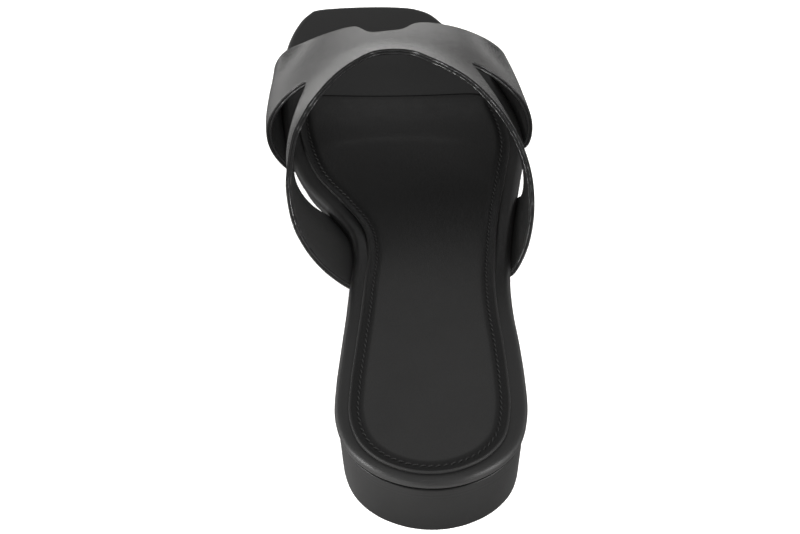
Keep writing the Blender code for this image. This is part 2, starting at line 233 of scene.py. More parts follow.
# Sock lining: section of its turned edge, from the edge inwards. The front edge is skived thin
SockStep = namedtuple("SockStep", "inset side front")
SOCK_EDGE = (
    SockStep(0.00, 0.00, 0.00),
    SockStep(0.02, 0.50, 0.80),
    SockStep(0.10, 0.88, 1.10),
    SockStep(0.24, 1.10, 1.16),
    SockStep(0.42, 1.18, 1.18),
    SockStep(0.62, 1.12, 1.19),
    SockStep(0.90, 0.96, 1.20),
    SockStep(1.30, 0.82, 1.20),
    SockStep(1.90, 0.74, 1.20),
    SockStep(2.45, 0.68, 1.20),
    SockStep(2.80, 0.60, 1.20),
    SockStep(3.10, 0.58, 1.20),
    SockStep(3.40, 0.66, 1.20),
    SockStep(3.90, 0.88, 1.20),
    SockStep(4.50, 1.08, 1.20),
    SockStep(5.20, 1.22, 1.20),
)
SOCK_FRONT = 204.4
SOCK_FRONT_SAG = 1.6
SOCK_FRONT_NARROW = 0.3
SOCK_CORNER_ROUNDING = 60
SOCK_CORNER_REACH = 24.0
SOCK_STEP = 1.0
SOCK_GRID = 1.1
SOCK_CROWN = 0.45
SOCK_CROWN_REACH = 7.0

# Where pressing makes the stitch channel smoother, with painted shade in it, counted from the sock lining's
# edge, and its unfinished front edge, rougher with a painted shadow line
PRESSED_SHADE_FROM = 0.5
PRESSED_SHADE_RISE = 0.4
PRESSED_SHADE_TO = 5.4
PRESSED_SHADE_FALL = 1.2
RAW_EDGE_SHADE_TO = 2.6
RAW_EDGE_SHADE_FALL = 0.8

# Painted light and shade along the shoe: the paler front of the sock lining is painted light, and where sock
# and rim are darkest is painted shade from the strap
FRONT_PAINTED_LIGHT_FROM = 182.0
FRONT_PAINTED_LIGHT_REACH = 12.0
STRAP_SHADE_AT = 142.0
STRAP_SHADE_REACH = 38.0
RIM_STRAP_SHADE_AT = 108.0
RIM_STRAP_SHADE_REACH = 34.0

# Soft ridge across the ball, between two places across the shoe, where it fades out
BALL_RIDGE_AT = 177.4
BALL_RIDGE_BOW = 4.0
BALL_RIDGE_HEIGHT = 0.24
BALL_RIDGE_WIDTH = 1.7
BALL_RIDGE_ENDS = (-34.0, 24.0)
BALL_RIDGE_FADES = (14.0, 16.0)

# Stitching of the sock lining: each stitch rises from its low ends, where the thread is thinner. The
# row stops where the outline's share in the sides is too small, at the front corners
STITCH_INSET = 3.05
STITCH_PITCH = 2.4
STITCH_LENGTH = 1.9
STITCH_SLANT = 0.35
STITCH_LOW = 0.46
STITCH_RISE = 0.34
THREAD = 0.26
THREAD_ENDS = 0.55
STITCHED_FROM = 0.9
STITCH_RINGS = 7
STITCH_SIDES = 8

# Points along a curve before it is divided evenly, and how far fill points keep from an outline
FINE_POINTS = 2000
EDGE_POINTS = 1801
LEG_POINTS = 500
LEG_END_POINTS = 40
SOCK_SIDE_POINTS = 1200
SOCK_FRONT_POINTS = 200
OUTLINE_POINTS = 1500
TURN_POINTS = 6000
STITCH_LINE_STEP = 0.2
FILL_CLEAR = 0.6

# Mesh fineness of the sole's pieces
SOLE_STEP = 1.1
SOLE_GRID = 3.0
RIM_STEPS = 22
ROUND_STEPS = 6
BREAST_POINTS = 46
OUTSOLE_STEP = 0.7
OUTSOLE_SIDE = 1.3
OUTSOLE_TOP_RINGS = (0.0, 0.15, 0.3)
OUTSOLE_REAR_POINTS = 60


def smooth(places, values, at):
    """Smooth curve through a table's points, read at many places."""
    places = np.asarray(places, float)
    values = np.asarray(values, float)
    span = np.diff(places)
    rise = np.diff(values) / span
    slope = np.empty(len(places))
    slope[1:-1] = (rise[:-1] * span[1:] + rise[1:] * span[:-1]) / (span[1:] + span[:-1])
    slope[0] = rise[0]
    slope[-1] = rise[-1]
    at = np.clip(at, places[0], places[-1])
    k = np.clip(np.searchsorted(places, at) - 1, 0, len(span) - 1)
    u = (at - places[k]) / span[k]
    level = values[k] * (1 + 2 * u) * (1 - u) ** 2 + values[k + 1] * u * u * (3 - 2 * u)
    lean = slope[k] * u * (1 - u) ** 2 - slope[k + 1] * u * u * (1 - u)
    return level + lean * span[k]


def ramp(value):
    """Eased step from 0 to 1."""
    value = np.clip(value, 0.0, 1.0)
    return value * value * (3 - 2 * value)


def unit(vectors):
    """The same directions at length 1."""
    return vectors / np.linalg.norm(vectors, axis=-1, keepdims=True)


def run_along(points):
    """Distance of each point along a line of points."""
    return np.concatenate([[0.0], np.cumsum(np.linalg.norm(np.diff(points, axis=0), axis=1))])


def quarter_round(radius, steps):
    """A rounded lower edge as insets and heights, from the underside up."""
    angles = np.linspace(0.0, math.pi / 2, steps)
    return [(radius * (1 - math.sin(a)), radius * (1 - math.cos(a))) for a in angles]


def turn_of(along):
    """Angle around the outline, 0 at the heel's back and pi at the toe, on the inner side."""
    return np.arccos(np.clip(1 - 2 * np.asarray(along, float), -1.0, 1.0))


def outline_table():
    """Outline as x over the angle around it, with a few rows repeated at its ends so that it closes."""
    inner = [(float(turn_of(s.along)), s.inner) for s in OUTLINE]
    outer = [(2 * math.pi - float(turn_of(s.along)), s.outer) for s in reversed(OUTLINE[1:-1])]
    loop = inner + outer
    before = [(t - 2 * math.pi, x) for t, x in loop[-3:]]
    after = [(t + 2 * math.pi, x) for t, x in loop[:3]]
    return np.array(before + loop + after)


TURNS = outline_table()


def edge_point(turn):
    """Points of the footbed's outline."""
    turn = np.mod(turn, 2 * math.pi)
    x = BALL_WIDTH * smooth(TURNS[:, 0], TURNS[:, 1], turn)
    y = LENGTH * (1 - np.cos(turn)) / 2
    return np.stack([x, y], axis=-1)


def edge_normal(turn):
    """Outward directions of the outline."""
    step = 0.01
    run = edge_point(turn + step) - edge_point(turn - step)
    return unit(np.stack([-run[..., 1], run[..., 0]], axis=-1))


def seat(y):
    """Height of the footbed's underside above the floor."""
    along = y / LENGTH
    tread = OUTSOLE_THICK + GAP
    drop = ramp((along - SHANK_FROM) / (TREAD_FROM - SHANK_FROM))
    lift = np.maximum((along - SPRING_FROM) / (1 - SPRING_FROM), 0.0)
    return HEEL_HEIGHT + (tread - HEEL_HEIGHT) * drop + TOE_SPRING * lift * lift


def sole_point(turn, inset, up):
    """Points inside the outline by an inset, at a height above the footbed's underside."""
    inset = np.broadcast_to(inset, np.shape(turn))
    flat = edge_point(turn) - inset[..., None] * edge_normal(turn)
    return np.concatenate([flat, (seat(flat[..., 1]) + up)[..., None]], axis=-1)


def side_turn(y, side):
    """Angle around the outline at a distance from the heel, on the inner (-1) or outer (1) side."""
    turn = turn_of(y / LENGTH)
    return np.where(side < 0, turn, 2 * math.pi - turn)


def last_value(column, y):
    """One column of the last's table, at distances from the heel."""
    places = [row.along for row in LAST]
    return smooth(places, [getattr(row, column) for row in LAST], y / LENGTH)


def wall_value(column, side, y):
    """A column that the last has for each side."""
    return np.where(side < 0, last_value("inner_" + column, y), last_value("outer_" + column, y))


def wall_foot(y, side, radius, angle):
    """Points on the strap where it wraps the rim, at an angle below level."""
    inset = RIM_ROUND - radius * np.cos(angle)
    return sole_point(side_turn(y, side), inset, RIM_ROUND - radius * np.sin(angle))


def wall_point(across, y):
    """Points on the strap's outside between the rim (-1 or 1) and the ridge (0)."""
    side = np.where(across < 0, -1.0, 1.0)
    flare = np.radians(wall_value("flare", side, y))
    reach = BALL_WIDTH * wall_value("reach", side, y)
    shoulder = BALL_WIDTH * wall_value("shoulder", side, y)
    normal = edge_normal(side_turn(y, side))
    lean = np.stack([normal[:, 0] * np.sin(flare), normal[:, 1] * np.sin(flare), np.cos(flare)], axis=-1)
    foot = wall_foot(y, side, RIM_ROUND + GAP + WALL, flare)
    ridge_x = BALL_WIDTH * last_value("ridge_x", y)
    ridge = np.stack([ridge_x, y, INSTEP_HEIGHT * last_value("ridge_z", y)], axis=-1)
    level = np.stack([side * shoulder, 0 * y, 0 * y], axis=-1)
    t = (1 - np.abs(across))[:, None]
    bend = 3 * t * (1 - t) ** 2 * (foot + reach[:, None] * lean) + 3 * t * t * (1 - t) * (ridge + level)
    return (1 - t) ** 3 * foot + bend + t ** 3 * ridge


def wall_normal(across, y):
    """Directions out of the strap's outside."""
    step = 0.01
    near = np.clip(across, -1 + step, 1 - step)
    run = wall_point(near + step, y) - wall_point(near - step, y)
    rise = wall_point(near, y + 1) - wall_point(near, y - 1)
    return unit(np.cross(run, rise))


def strap_pair(across, y):
    """Outside and inside points of the strap. Past 1 it wraps the rim, past 2 it is the lasting margin."""
    side = np.where(across < 0, -1.0, 1.0)
    reach = np.abs(across)
    on_wall = np.clip(across, -1.0, 1.0)
    outside = wall_point(on_wall, y)
    inside = outside - WALL * wall_normal(on_wall, y)
    flare = np.radians(wall_value("flare", side, y))
    share = np.clip(reach - 1, 0.0, 1.0)
    angle = flare + share * (math.pi / 2 - flare)
    thick = WALL + (SKIVE - WALL) * share
    inner = RIM_ROUND + GAP
    wrapped = ((reach > 1) & (reach <= 2))[:, None]
    outside = np.where(wrapped, wall_foot(y, side, inner + thick, angle), outside)
    inside = np.where(wrapped, wall_foot(y, side, inner + 0 * y, angle), inside)
    inset = RIM_ROUND + np.clip(reach - 2, 0.0, 1.0) * (MARGIN - RIM_ROUND)
    turn = side_turn(y, side)
    lasted = (reach > 2)[:, None]
    outside = np.where(lasted, sole_point(turn, inset, -GAP - SKIVE), outside)
    inside = np.where(lasted, sole_point(turn, inset, -GAP), inside)
    return outside, inside


def edge_y(table, across):
    """Distance of a cut edge from the heel."""
    return LENGTH * smooth([row.across for row in table], [row.along for row in table], across)


def notch_line(side, across, back):
    """Rear or front side of a notch, from its tip down to the sole. Across is counted from the ridge."""
    notch = NOTCHES[side]
    tip = np.array([side * notch.tip])
    tip_rear = edge_y(REAR_EDGE, tip)
    middle = tip_rear + notch.share * (edge_y(FRONT_EDGE, tip) - tip_rear)
    share = (np.clip(across, notch.tip, 1.0) - notch.tip) / (1 - notch.tip)
    opening = np.sqrt(1 - (1 - share) ** 2)
    bow = 4 * share * (1 - share)
    if back:
        return middle - notch.back * opening - notch.back_bow * bow
    return middle + notch.ahead * opening + notch.ahead_bow * bow


def leg_ends(side):
    """Where the rear and the front leg of one side start and stop along the shoe, at the sole."""
    foot = np.array([1.0])
    rear = edge_y(REAR_EDGE, side * foot), notch_line(side, foot, True)
    front = notch_line(side, foot, False), edge_y(FRONT_EDGE, side * foot)
    return [(float(start[0]), float(stop[0])) for start, stop in (rear, front)]


def across_of(flat):
    """Place across the strap of a distance on its flat pattern."""
    return np.sign(flat) * np.interp(np.abs(flat), FLAT_PLACES, ACROSS_PLACES)


def flat_of(across):
    """Distance on the flat pattern of a place across the strap."""
    return np.sign(across) * np.interp(np.abs(across), ACROSS_PLACES, FLAT_PLACES)


def strap_outline():
    """Cut line of the strap on its flat pattern, anticlockwise, as (flat, y)."""
    whole = np.linspace(-3.0, 3.0, EDGE_POINTS)
    ends = np.linspace(0.0, 1.0, LEG_END_POINTS)
    leg = np.linspace(0.0, 1.0, LEG_POINTS) ** 2
    lines = [(whole, edge_y(REAR_EDGE, whole))]
    for side in (1, -1):
        tip = NOTCHES[side].tip
        down = tip + (3.0 - tip) * leg
        back = (side * down, notch_line(side, down, True))
        ahead = (side * down, notch_line(side, down, False))
        tail, head = [(0 * ends + side * 3.0, low + ends * (high - low)) for low, high in leg_ends(side)]
        run = [tail, tuple(v[::-1] for v in back), ahead, head]
        if side > 0:
            lines += run + [(whole[::-1], edge_y(FRONT_EDGE, whole[::-1]))]
        else:
            lines += [tuple(v[::-1] for v in line) for line in reversed(run)]
    across = np.concatenate([line[0] for line in lines])
    y = np.concatenate([line[1] for line in lines])
    return np.column_stack([flat_of(across), y])


def even_loop(loop, positions, step):
    """The same closed loop with its points evenly spaced along the given positions."""
    run = run_along(np.concatenate([positions, positions[:1]]))
    count = int(round(run[-1] / step))
    at = np.linspace(0.0, run[-1], count, endpoint=False)
    ends = np.concatenate([loop, loop[:1]])
    return np.column_stack([np.interp(at, run, ends[:, k]) for k in range(loop.shape[1])])


def rounded_loop(loop, times):
    """Closed loop with its corners eased."""
    for _ in range(times):
        loop = (np.roll(loop, 1, axis=0) + 2 * loop + np.roll(loop, -1, axis=0)) / 4
    return loop


def inside_loop(points, loop):
    """Which points lie inside a closed loop in the plane."""
    found = np.zeros(len(points), bool)
    ends = np.roll(loop, -1, axis=0)
    for (ax, ay), (bx, by) in zip(loop, ends):
        if ay == by:
            continue
        spans = (ay > points[:, 1]) != (by > points[:, 1])
        crossing = ax + (points[:, 1] - ay) * (bx - ax) / (by - ay)
        found ^= spans & (points[:, 0] < crossing)
    return found


def distance_to(points, targets):
    """Distance of each point to the nearest target."""
    tree = kdtree.KDTree(len(targets))
    for k, target in enumerate(targets):
        tree.insert(tuple(target) if len(target) == 3 else (target[0], target[1], 0.0), k)
    tree.balance()
    where = points if points.shape[1] == 3 else np.column_stack([points, np.zeros(len(points))])
    return np.array([tree.find(p)[2] for p in where])


def fill_loop(loop, spacing):
    """Even points inside a closed loop, and triangles over the loop's points followed by those."""
    low = loop.min(axis=0)
    high = loop.max(axis=0)
    rows = []
    for k, v in enumerate(np.arange(low[1], high[1], spacing * math.sqrt(0.75))):
        u = np.arange(low[0] + (k % 2) * spacing / 2, high[0], spacing)
        rows.append(np.column_stack([u, np.full(len(u), v)]))
    points = np.concatenate(rows)
    points = points[inside_loop(points, loop)]
    points = points[distance_to(points, loop) > FILL_CLEAR * spacing]
    flat = np.concatenate([loop, points])
    count = len(loop)
    edges = [(k, (k + 1) % count) for k in range(count)]
    found = delaunay_2d_cdt([Vector(p) for p in flat], edges, [], 1, 1e-6, False)
    if len(found[0]) != len(flat):
        raise ValueError("the loop crosses itself")
    triangles = np.array(found[2])
    triangles = triangles[inside_loop(flat[triangles].mean(axis=1), loop)]
    return points, [tuple(face) for face in triangles.tolist()]


class Skin:
    """Points, faces and paints of one piece while it is put together, in millimetres."""

    def __init__(self):
        self.points = []
        self.faces = []
        self.paints = []
        self.count = 0

    def add(self, points):
        """Adds points and gives the number of the first."""
        start = self.count
        self.points.append(np.asarray(points, float))
        self.count += len(points)
        return start

    def points_at(self, ring):
        """Points of one ring, given as its first point's number and its count."""
        return np.concatenate(self.points)[ring[0]:ring[0] + ring[1]]

    def patch(self, starts, sizes, triangles, paint, flip=False):
        """Triangles over points that were added in several lots."""
        lookup = np.concatenate([start + np.arange(size) for start, size in zip(starts, sizes)])
        for face in triangles:
            corners = tuple(int(lookup[k]) for k in face)
            self.faces.append(corners[::-1] if flip else corners)
            self.paints.append(paint)

    def bands(self, rings, count, paint):
        """Quads between closed rings of points, facing out when the rings follow each other upwards."""
        for low, high in zip(rings, rings[1:]):
            for k in range(count):
                after = (k + 1) % count
                self.faces.append((low + k, low + after, high + after, high + k))
                self.paints.append(paint)


def make_piece(name, skin, materials, node, marks=None):
    """Object of one piece, set on the frame, that stands for a CAD node."""
    mesh = bpy.data.meshes.new(name)
    points = np.concatenate(skin.points) * MM + SHOE_ORIGIN
    mesh.from_pydata(points.tolist(), [], skin.faces)
    mesh.polygons.foreach_set("material_index", skin.paints)
    for material in materials:
        mesh.materials.append(material)
    for label, values in (marks or {}).items():
        attribute = mesh.attributes.new(label, "FLOAT", "POINT")
        attribute.data.foreach_set("value", np.asarray(values, np.float32))
    mesh.shade_smooth()
    mesh.update()
    piece = bpy.data.objects.new(name, mesh)
    bpy.context.scene.collection.objects.link(piece)
    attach(piece, "root")
    if node:
        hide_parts(node)


def shoe_origin():
    """Place of the shoe's own frame, read from the footbed's solid, in metres."""
    low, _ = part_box("footbed")
    inner = edge_point(np.linspace(0.0, math.pi, FINE_POINTS))[:, 0].min()
    return np.array([low.x - inner * MM, low.y, 0.0])


SHOE_ORIGIN = shoe_origin()


def strap_bend(across, y):
    """How far points of the strap lie past its soft ridge, fading on the legs."""
    places = np.linspace(-1.0, 1.0, FINE_POINTS)
    rear = wall_point(places, edge_y(REAR_EDGE, places))
    past = distance_to(wall_point(np.clip(across, -1.0, 1.0), y), rear) - BEND_FROM
    low, high = BEND_FADES
    fade = 1 - ramp((np.abs(across) - low) / (high - low))
    return fade * (past + np.sqrt(past * past + BEND_SOFT ** 2)) / 2


def strap_surface(flat, y):
    """Outside points of the strap, directions out of it, and its thickness."""
    outside, inside = strap_pair(across_of(flat), y)
    out = outside - inside
    thick = np.linalg.norm(out, axis=1)
    out = out / thick[:, None]
    drop = BEND_SLOPE * strap_bend(across_of(flat), y)
    return outside - drop[:, None] * out, out, thick


def strap_skin():
    """The strap: leather outside, lining inside and painted cut edges all round."""
    loop = strap_outline()
    loop = even_loop(loop, strap_surface(*loop.T)[0], STRAP_STEP)
    loop = rounded_loop(loop, TIP_ROUNDING)
    edge, out, thick = strap_surface(*loop.T)
    run = np.roll(edge, -1, axis=0) - np.roll(edge, 1, axis=0)
    past = unit(np.cross(run, out))
    step = 0.05
    inwards = -step * np.sign(loop[:, 0])
    by_flat = (strap_surface(loop[:, 0] + inwards, loop[:, 1])[0] - edge) / inwards[:, None]
    by_y = (strap_surface(loop[:, 0], loop[:, 1] + step)[0] - edge) / step
    moves = []
    for a, b, direction in zip(by_flat, by_y, past):
        moves.append(np.linalg.lstsq(np.column_stack([a, b]), -EDGE_SOFT * direction, rcond=None)[0])
    inset = loop + np.array(moves)
    grid, triangles = fill_loop(inset, STRAP_GRID)
    flat = np.concatenate([inset, grid])
    outside, normal, wall = strap_surface(*flat.T)
    skin = Skin()
    near = np.exp(-distance_to(outside, edge) / EDGE_RUB_REACH)
    bend = strap_bend(across_of(flat[:, 0]), flat[:, 1])
    count = len(loop)
    top = skin.add(outside)
    skin.patch([top], [len(flat)], triangles, 0)
    rings = [top]
    for cut in CUT_EDGE:
        ring = edge + cut.out * past - (cut.down * thick / WALL)[:, None] * out
        rings.append(skin.add(ring))
    lining = skin.add(outside - wall[:, None] * normal)
    skin.patch([lining], [len(flat)], triangles, 2, flip=True)
    rings.append(lining)
    skin.bands(rings[::-1], count, 1)
    cuts = len(CUT_EDGE)
    edge_rub_and_painted_light = np.concatenate([near, np.ones(cuts * count), near])
    return skin, {"edge_rub_and_painted_light": edge_rub_and_painted_light, "bend": np.concatenate([bend, np.tile(bend[:count], cuts), bend])}


def sock_loop():
    """Outline of the sock lining in plan, anticlockwise, and how far each point belongs to its sides."""
    front = float(turn_of(SOCK_FRONT / LENGTH))
    turns = np.linspace(front, -front, SOCK_SIDE_POINTS)
    fade = 1 - ramp((1 - np.cos(turns)) / 2 / SOCK_DRIFT_END)
    inset = SOCK_INSET + fade * (edge_normal(turns) @ np.array(SOCK_DRIFT))
    sides = edge_point(turns) - inset[:, None] * edge_normal(turns)
    share = np.linspace(0.0, 1.0, SOCK_FRONT_POINTS)[1:-1]
    straight = sides[-1] + share[:, None] * (sides[0] - sides[-1])
    straight[:, 1] -= SOCK_FRONT_SAG * 4 * share * (1 - share)
    loop = np.concatenate([sides, straight])
    belongs = np.concatenate([np.ones(len(sides)), np.zeros(len(straight))])
    loop = even_loop(np.column_stack([loop, belongs]), loop, SOCK_STEP)
    near_front = ramp((loop[:, 1:2] - SOCK_FRONT + SOCK_CORNER_REACH) / SOCK_CORNER_REACH * 2)
    loop = loop + near_front * (rounded_loop(loop, SOCK_CORNER_ROUNDING) - loop)
    return loop[:, :2], ramp(loop[:, 2])


def sock_inset(loop, sides, inset):
    """The sock lining's outline moved inwards, less so along its skived front edge."""
    run = np.roll(loop, -1, axis=0) - np.roll(loop, 1, axis=0)
    inwards = unit(np.column_stack([-run[:, 1], run[:, 0]]))
    return loop + (inset * (SOCK_FRONT_NARROW + (1 - SOCK_FRONT_NARROW) * sides))[:, None] * inwards


def sock_floor(y):
    """Height of the sock lining's underside."""
    return seat(y) + FOOTBED_THICK + GAP


def ball_ridge(x, y):
    """Share of the soft ridge that the foot has pushed up across the ball, bowed towards the toe."""
    low, high = BALL_RIDGE_ENDS
    across = 2 * (x - low) / (high - low) - 1
    ends = ramp((x - low) / BALL_RIDGE_FADES[0]) * ramp((high - x) / BALL_RIDGE_FADES[1])
    return ends * np.exp(-((y - BALL_RIDGE_AT + BALL_RIDGE_BOW * across ** 2) / BALL_RIDGE_WIDTH) ** 2)


def sock_field(x, y, away):
    """Height of the sock lining's field over its flat thickness: padded, with the ridge across the ball."""
    crown = SOCK_CROWN * (1 - np.exp(-np.maximum(away - SOCK_EDGE[-1].inset, 0.0) / SOCK_CROWN_REACH))
    return crown + BALL_RIDGE_HEIGHT * ball_ridge(x, y)


def strap_shade(skin, middle, reach):
    """Share of painted shade from the strap at each point, most at one place along the shoe."""
    along = np.concatenate(skin.points)[:, 1]
    return np.exp(-((along - middle) / reach) ** 2)


def sock_skin():
    """The sock lining: turned edge, stitch channel and padded field."""
    loop, sides = sock_loop()
    skin = Skin()
    count = len(loop)
    rings = []
    pressed_shade = []
    raw_shade = []
    for step in SOCK_EDGE:
        flat = sock_inset(loop, sides, step.inset)
        height = step.front + (step.side - step.front) * sides
        rings.append(skin.add(np.column_stack([flat, sock_floor(flat[:, 1]) + height])))
        # Painted shade: the stitch channel and the front edge's shadow line are darkened
        begun = ramp((step.inset - PRESSED_SHADE_FROM) / PRESSED_SHADE_RISE)
        pressed_shade.append(sides * begun * ramp((PRESSED_SHADE_TO - step.inset) / PRESSED_SHADE_FALL))
        raw_shade.append((1 - sides) * ramp((RAW_EDGE_SHADE_TO - step.inset) / RAW_EDGE_SHADE_FALL))
    skin.bands(rings, count, 0)
    inner = sock_inset(loop, sides, SOCK_EDGE[-1].inset)
    grid, triangles = fill_loop(inner, SOCK_GRID)
    away = distance_to(grid, loop)
    height = SOCK_EDGE[-1].side + sock_field(grid[:, 0], grid[:, 1], away)
    field_start = skin.add(np.column_stack([grid, sock_floor(grid[:, 1]) + height]))
    skin.patch([rings[-1], field_start], [count, len(grid)], triangles, 0)
    under, faces = fill_loop(loop, 2 * SOCK_GRID)
    below = skin.add(np.column_stack([under, sock_floor(under[:, 1])]))
    skin.patch([rings[0], below], [count, len(under)], faces, 0, flip=True)
    field = np.zeros(len(grid) + len(under))
    marks = {"pressed_shade": np.concatenate([*pressed_shade, field]), "raw_edge_shade": np.concatenate([*raw_shade, field])}
    # Painted light: a paler tone along the ball ridge's top and towards the front of the sock lining
    painted_ridge_and_front_light = ball_ridge(*grid.T) + ramp((grid[:, 1] - FRONT_PAINTED_LIGHT_FROM) / FRONT_PAINTED_LIGHT_REACH)
    marks["edge_rub_and_painted_light"] = np.concatenate([np.zeros(field_start), painted_ridge_and_front_light, np.zeros(len(under))])
    # Painted shade: the sock lining is darker where the strap shades it
    marks["strap_shade"] = strap_shade(skin, STRAP_SHADE_AT, STRAP_SHADE_REACH)
    return skin, marks


def stitch_skin():
    """Stitches along the sock lining's channel, each a short bowed length of thread."""
    loop, sides = sock_loop()
    line = sock_inset(loop, sides, STITCH_INSET)
    line = even_loop(np.column_stack([line, sides]), line, STITCH_LINE_STEP)
    closed = np.concatenate([line, line[:1]])
    run = run_along(closed[:, :2])
    skin = Skin()
    angles = np.linspace(0, 2 * math.pi, STITCH_SIDES, endpoint=False)
    shares = np.linspace(-0.5, 0.5, STITCH_RINGS)
    bow = np.sqrt(np.maximum(np.cos(math.pi * shares), 0.0))
    radius = THREAD * (THREAD_ENDS + (1 - THREAD_ENDS) * bow)
    for middle in np.arange(STITCH_PITCH, run[-1] - STITCH_PITCH, STITCH_PITCH):
        if np.interp(middle, run, closed[:, 2]) < STITCHED_FROM:
            continue
        at = middle + shares * STITCH_LENGTH
        x = np.interp(at, run, closed[:, 0])
        y = np.interp(at, run, closed[:, 1])
        along = unit(np.array([x[-1] - x[0], y[-1] - y[0]]))
        slant = STITCH_SLANT * shares * STITCH_LENGTH
        x = x - along[1] * slant
        y = y + along[0] * slant
        z = sock_floor(y) + STITCH_LOW + STITCH_RISE * bow
        starts = []
        for k in range(STITCH_RINGS):
            across = np.cos(angles) * radius[k]
            ring = [x[k] - along[1] * across, y[k] + along[0] * across, z[k] + np.sin(angles) * radius[k]]
            starts.append(skin.add(np.column_stack(ring)))
        skin.bands(starts[::-1], STITCH_SIDES, 0)
        for start, flip in ((starts[0], False), (starts[-1], True)):
            corners = tuple(start + k for k in range(STITCH_SIDES))
            skin.faces.append(corners if flip else corners[::-1])
            skin.paints.append(0)
    return skin


def even_turns(start, stop, step):
    """Angles along the outline, evenly spaced on it. They run back round the heel, anticlockwise in plan."""
    turns = np.linspace(start, stop, TURN_POINTS)
    run = run_along(edge_point(turns))
    return np.interp(np.linspace(0.0, run[-1], int(run[-1] / step) + 1), run, turns)


def cap(skin, ring, spacing, height, paint, under):
    """Closes a ring of points with an even fill at a height worked out from each place."""
    loop = skin.points_at(ring)
    grid, triangles = fill_loop(loop[:, :2], spacing)
    start = skin.add(np.column_stack([grid, height(grid)]))
    skin.patch([ring[0], start], [ring[1], len(grid)], triangles, paint, flip=under)


def footbed_skin():
    """The wrapped footbed with its half-round rim."""
    skin = Skin()
    turns = even_turns(2 * math.pi, 0.0, SOLE_STEP)[:-1]
    count = len(turns)
    rings = []
    for k in range(RIM_STEPS + 1):
        angle = math.pi * (k / RIM_STEPS - 0.5)
        inset = RIM_ROUND * (1 - math.cos(angle))
        rings.append(skin.add(sole_point(turns, inset, RIM_ROUND * (1 + math.sin(angle)))))
    skin.bands(rings, count, 0)
    cap(skin, (rings[-1], count), SOLE_GRID, lambda p: seat(p[:, 1]) + FOOTBED_THICK, 0, False)
    cap(skin, (rings[0], count), SOLE_GRID, lambda p: seat(p[:, 1]), 0, True)
    # Painted shade: the rim is darker where the strap shades it
    return skin, {"strap_shade": strap_shade(skin, RIM_STRAP_SHADE_AT, RIM_STRAP_SHADE_REACH)}


def breast_loop(inset, back):
    """Outline of the heel block at one level in plan, anticlockwise, with its straight breast in front."""
    turn = float(turn_of(BREAST_AT))
    turns = even_turns(turn, -turn, SOLE_STEP)
    sides = edge_point(turns) - inset * edge_normal(turns)
    share = np.linspace(0.0, 1.0, BREAST_POINTS)[1:-1, None]
    breast = sides[-1] + share * (sides[0] - sides[-1])
    loop = np.concatenate([sides, breast])
    loop[:, 1] += back
    return loop


def heel_skin():
    """The covered heel block, narrower at the floor, with faint lines round its top."""
    skin = Skin()
    top = HEEL_HEIGHT - GAP
    levels = quarter_round(HEEL_ROUND, ROUND_STEPS)
    for up in np.arange(HEEL_SIDE_FROM, top - HEEL_SIDE_BELOW_TOP, HEEL_SIDE_STEP):
        lines = sum(math.exp(-((top - up - line) / HEEL_LINE_WIDTH) ** 2) for line in HEEL_LINES)
        levels.append((HEEL_LINE_DEPTH * lines, up))
    levels += [(up, top - soft) for soft, up in quarter_round(HEEL_TOP_ROUND, ROUND_STEPS - 1)]
    rings = []
    for soft, up in levels:
        share = up / top
        inset = HEEL_FOOT_INSET + (HEEL_TOP_INSET - HEEL_FOOT_INSET) * share + soft
        loop = breast_loop(inset, -HEEL_RAKE * (1 - share))
        rings.append(skin.add(np.column_stack([loop, np.full(len(loop), up)])))
    count = len(loop)
    skin.bands(rings, count, 0)
    cap(skin, (rings[-1], count), SOLE_GRID, lambda p: np.full(len(p), top), 0, False)
    cap(skin, (rings[0], count), SOLE_GRID, lambda p: np.zeros(len(p)), 0, True)
    return skin


def pocket_depth(points, inset):
    """How far the outsole's top is recessed under the strap's lasting margins."""
    y = points[:, 1]
    side = np.where(points[:, 0] < 0, -1, 1)
    depth = np.zeros(len(points))
    floor = GAP + SKIVE + (WALL - SKIVE) * np.clip(1 - (inset - OUTSOLE_INSET) / POCKET_MOUTH, 0.0, 1.0)
    floor = floor * ramp((MARGIN + 2 * GAP - inset) / GAP)
    for which in (-1, 1):
        for start, stop in leg_ends(which):
            inside = ramp((y - start + 3 * GAP) / GAP) * ramp((stop + 3 * GAP - y) / GAP)
            depth = np.maximum(depth, np.where(side == which, floor * inside, 0.0))
    return depth


def recessed_top(points, outline):
    """Height of the outsole's top."""
    return seat(points[:, 1]) - GAP - pocket_depth(points, distance_to(points, outline))


def outsole_skin():
    """The walking sole from the heel's breast to the toe, recessed under the strap's legs."""
    skin = Skin()
    start = float(turn_of(BREAST_AT + GAP / LENGTH))
    turns = even_turns(2 * math.pi - start, start, OUTSOLE_STEP)
    low = -GAP - OUTSOLE_THICK
    rings = []
    for soft, up in quarter_round(OUTSOLE_ROUND, ROUND_STEPS) + [(0.0, OUTSOLE_SIDE)]:
        rings.append(sole_ring(skin, turns, OUTSOLE_INSET + soft, low + up, 0.0))
    for share in OUTSOLE_TOP_RINGS:
        rings.append(sole_ring(skin, turns, OUTSOLE_INSET + share * POCKET_MOUTH, -GAP, 1.0))
    skin.bands([first for first, _ in rings], rings[0][1], 0)
    outline = edge_point(np.linspace(0.0, 2 * math.pi, OUTLINE_POINTS))
    cap(skin, rings[-1], SOLE_GRID / 2, lambda p: recessed_top(p, outline), 0, False)
    cap(skin, rings[0], SOLE_GRID, lambda p: seat(p[:, 1]) + low, 0, True)
    return skin


